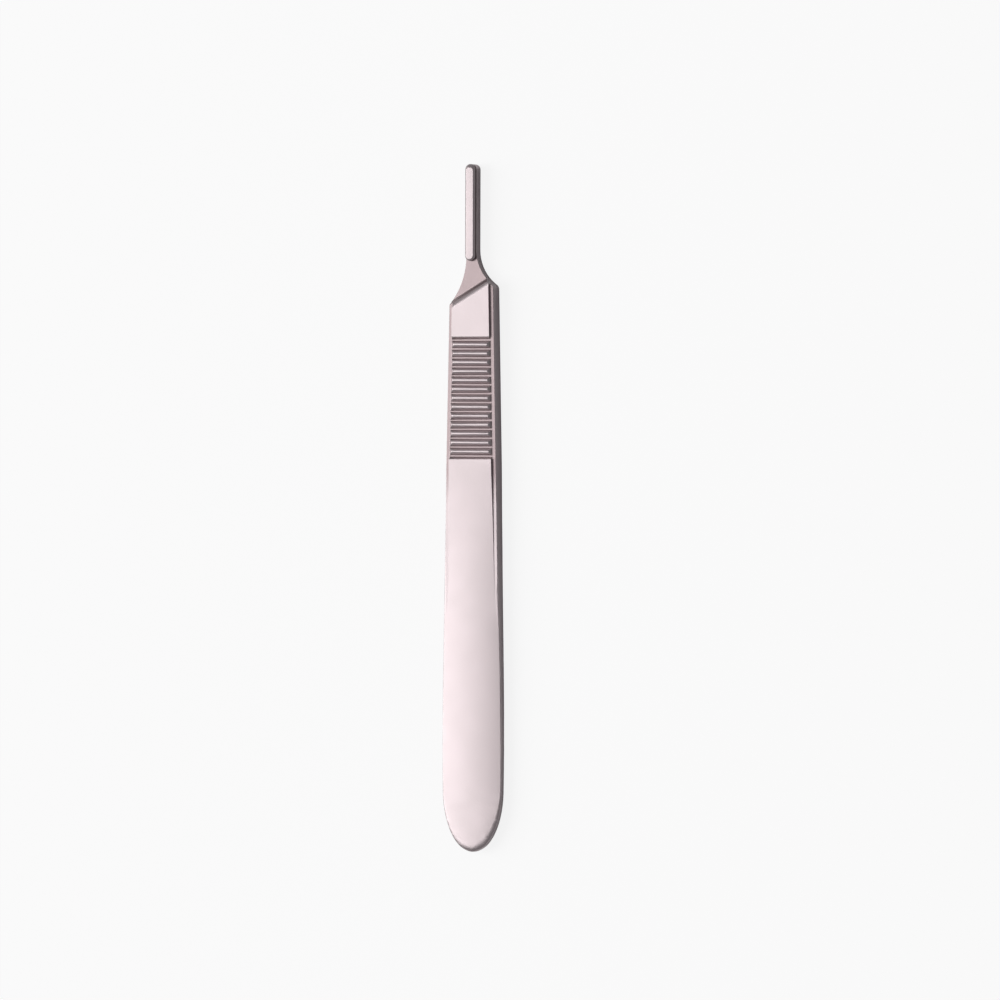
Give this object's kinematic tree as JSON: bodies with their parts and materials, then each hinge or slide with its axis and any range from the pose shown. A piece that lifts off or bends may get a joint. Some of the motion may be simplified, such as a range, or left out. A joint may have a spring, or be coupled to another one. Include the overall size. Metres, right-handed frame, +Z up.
{
  "type": "scalpel handle",
  "caption": "Flat reusable steel scalpel handle with cross-grooved grip and a lugged tang that takes a slide-on blade.",
  "frame": {"origin": "under the middle of the handle's length and width, at the level of the raised back face that it lies on", "axes": "+Y along the handle towards the blade fitting, +Z up out of the front face that carries the lug, +X to the right seen from the front"},
  "size_m": [0.0118, 0.125, 0.0037],
  "materials": {
    "steel": "satin"
  },
  "bodies": {
    "root": {"handle": "steel"}
  },
  "joints": []
}
